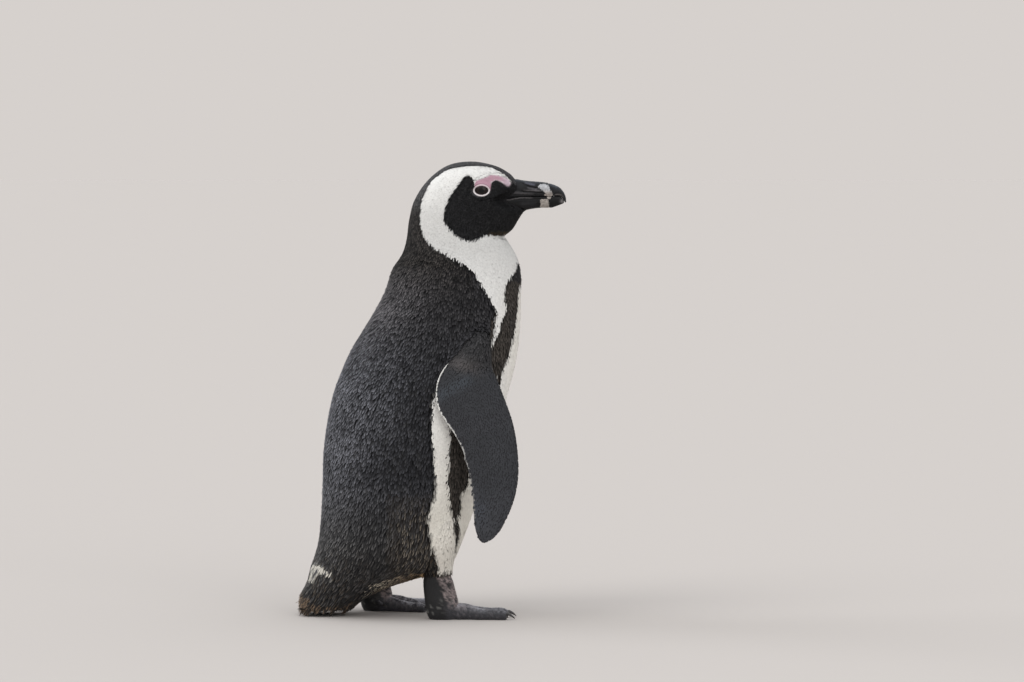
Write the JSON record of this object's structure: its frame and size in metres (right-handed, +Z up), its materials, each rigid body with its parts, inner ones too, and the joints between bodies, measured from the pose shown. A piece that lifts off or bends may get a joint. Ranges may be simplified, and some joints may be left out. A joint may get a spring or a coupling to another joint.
{
  "type": "african penguin model",
  "caption": "Life-size still model of an adult African penguin, standing upright on webbed feet with one foot ahead, flippers down and the tail resting on the floor.",
  "frame": {"origin": "on the floor, under the middle of the box round the bird", "axes": "+Z up; the bird faces -Y and its right side is -X"},
  "size_m": [0.18, 0.2778, 0.474],
  "materials": {
    "plumage_black": "short overlapping feathers, matt, slate grey at the tips",
    "plumage_white": "short overlapping feathers, matt, off white",
    "flipper_feather": "tiny scale-like feathers, slate black with a faint sheen",
    "horn": "satin horn with grooves and a pale grey band",
    "foot_skin": "scaly skin, black with pinkish grey mottling",
    "claw": "satin dark horn",
    "bare_skin": "bare pink skin over and round the eye",
    "eye": "wet, clear, very dark brown"
  },
  "bodies": {
    "root": {"head": "plumage_black", "neck": "plumage_white", "trunk": "plumage_black", "tail": "plumage_black", "flipper_right": "flipper_feather", "flipper_left": "flipper_feather", "leg_right": "plumage_white", "leg_left": "plumage_white", "foot_right": "foot_skin", "foot_left": "foot_skin", "bill_upper": "horn", "bill_lower": "horn", "eye_right": "eye", "eye_left": "eye", "claw_right_inner": "claw", "claw_right_middle": "claw", "claw_right_outer": "claw", "claw_right_hallux": "claw", "claw_left_inner": "claw", "claw_left_middle": "claw", "claw_left_outer": "claw", "claw_left_hallux": "claw"}
  },
  "joints": []
}
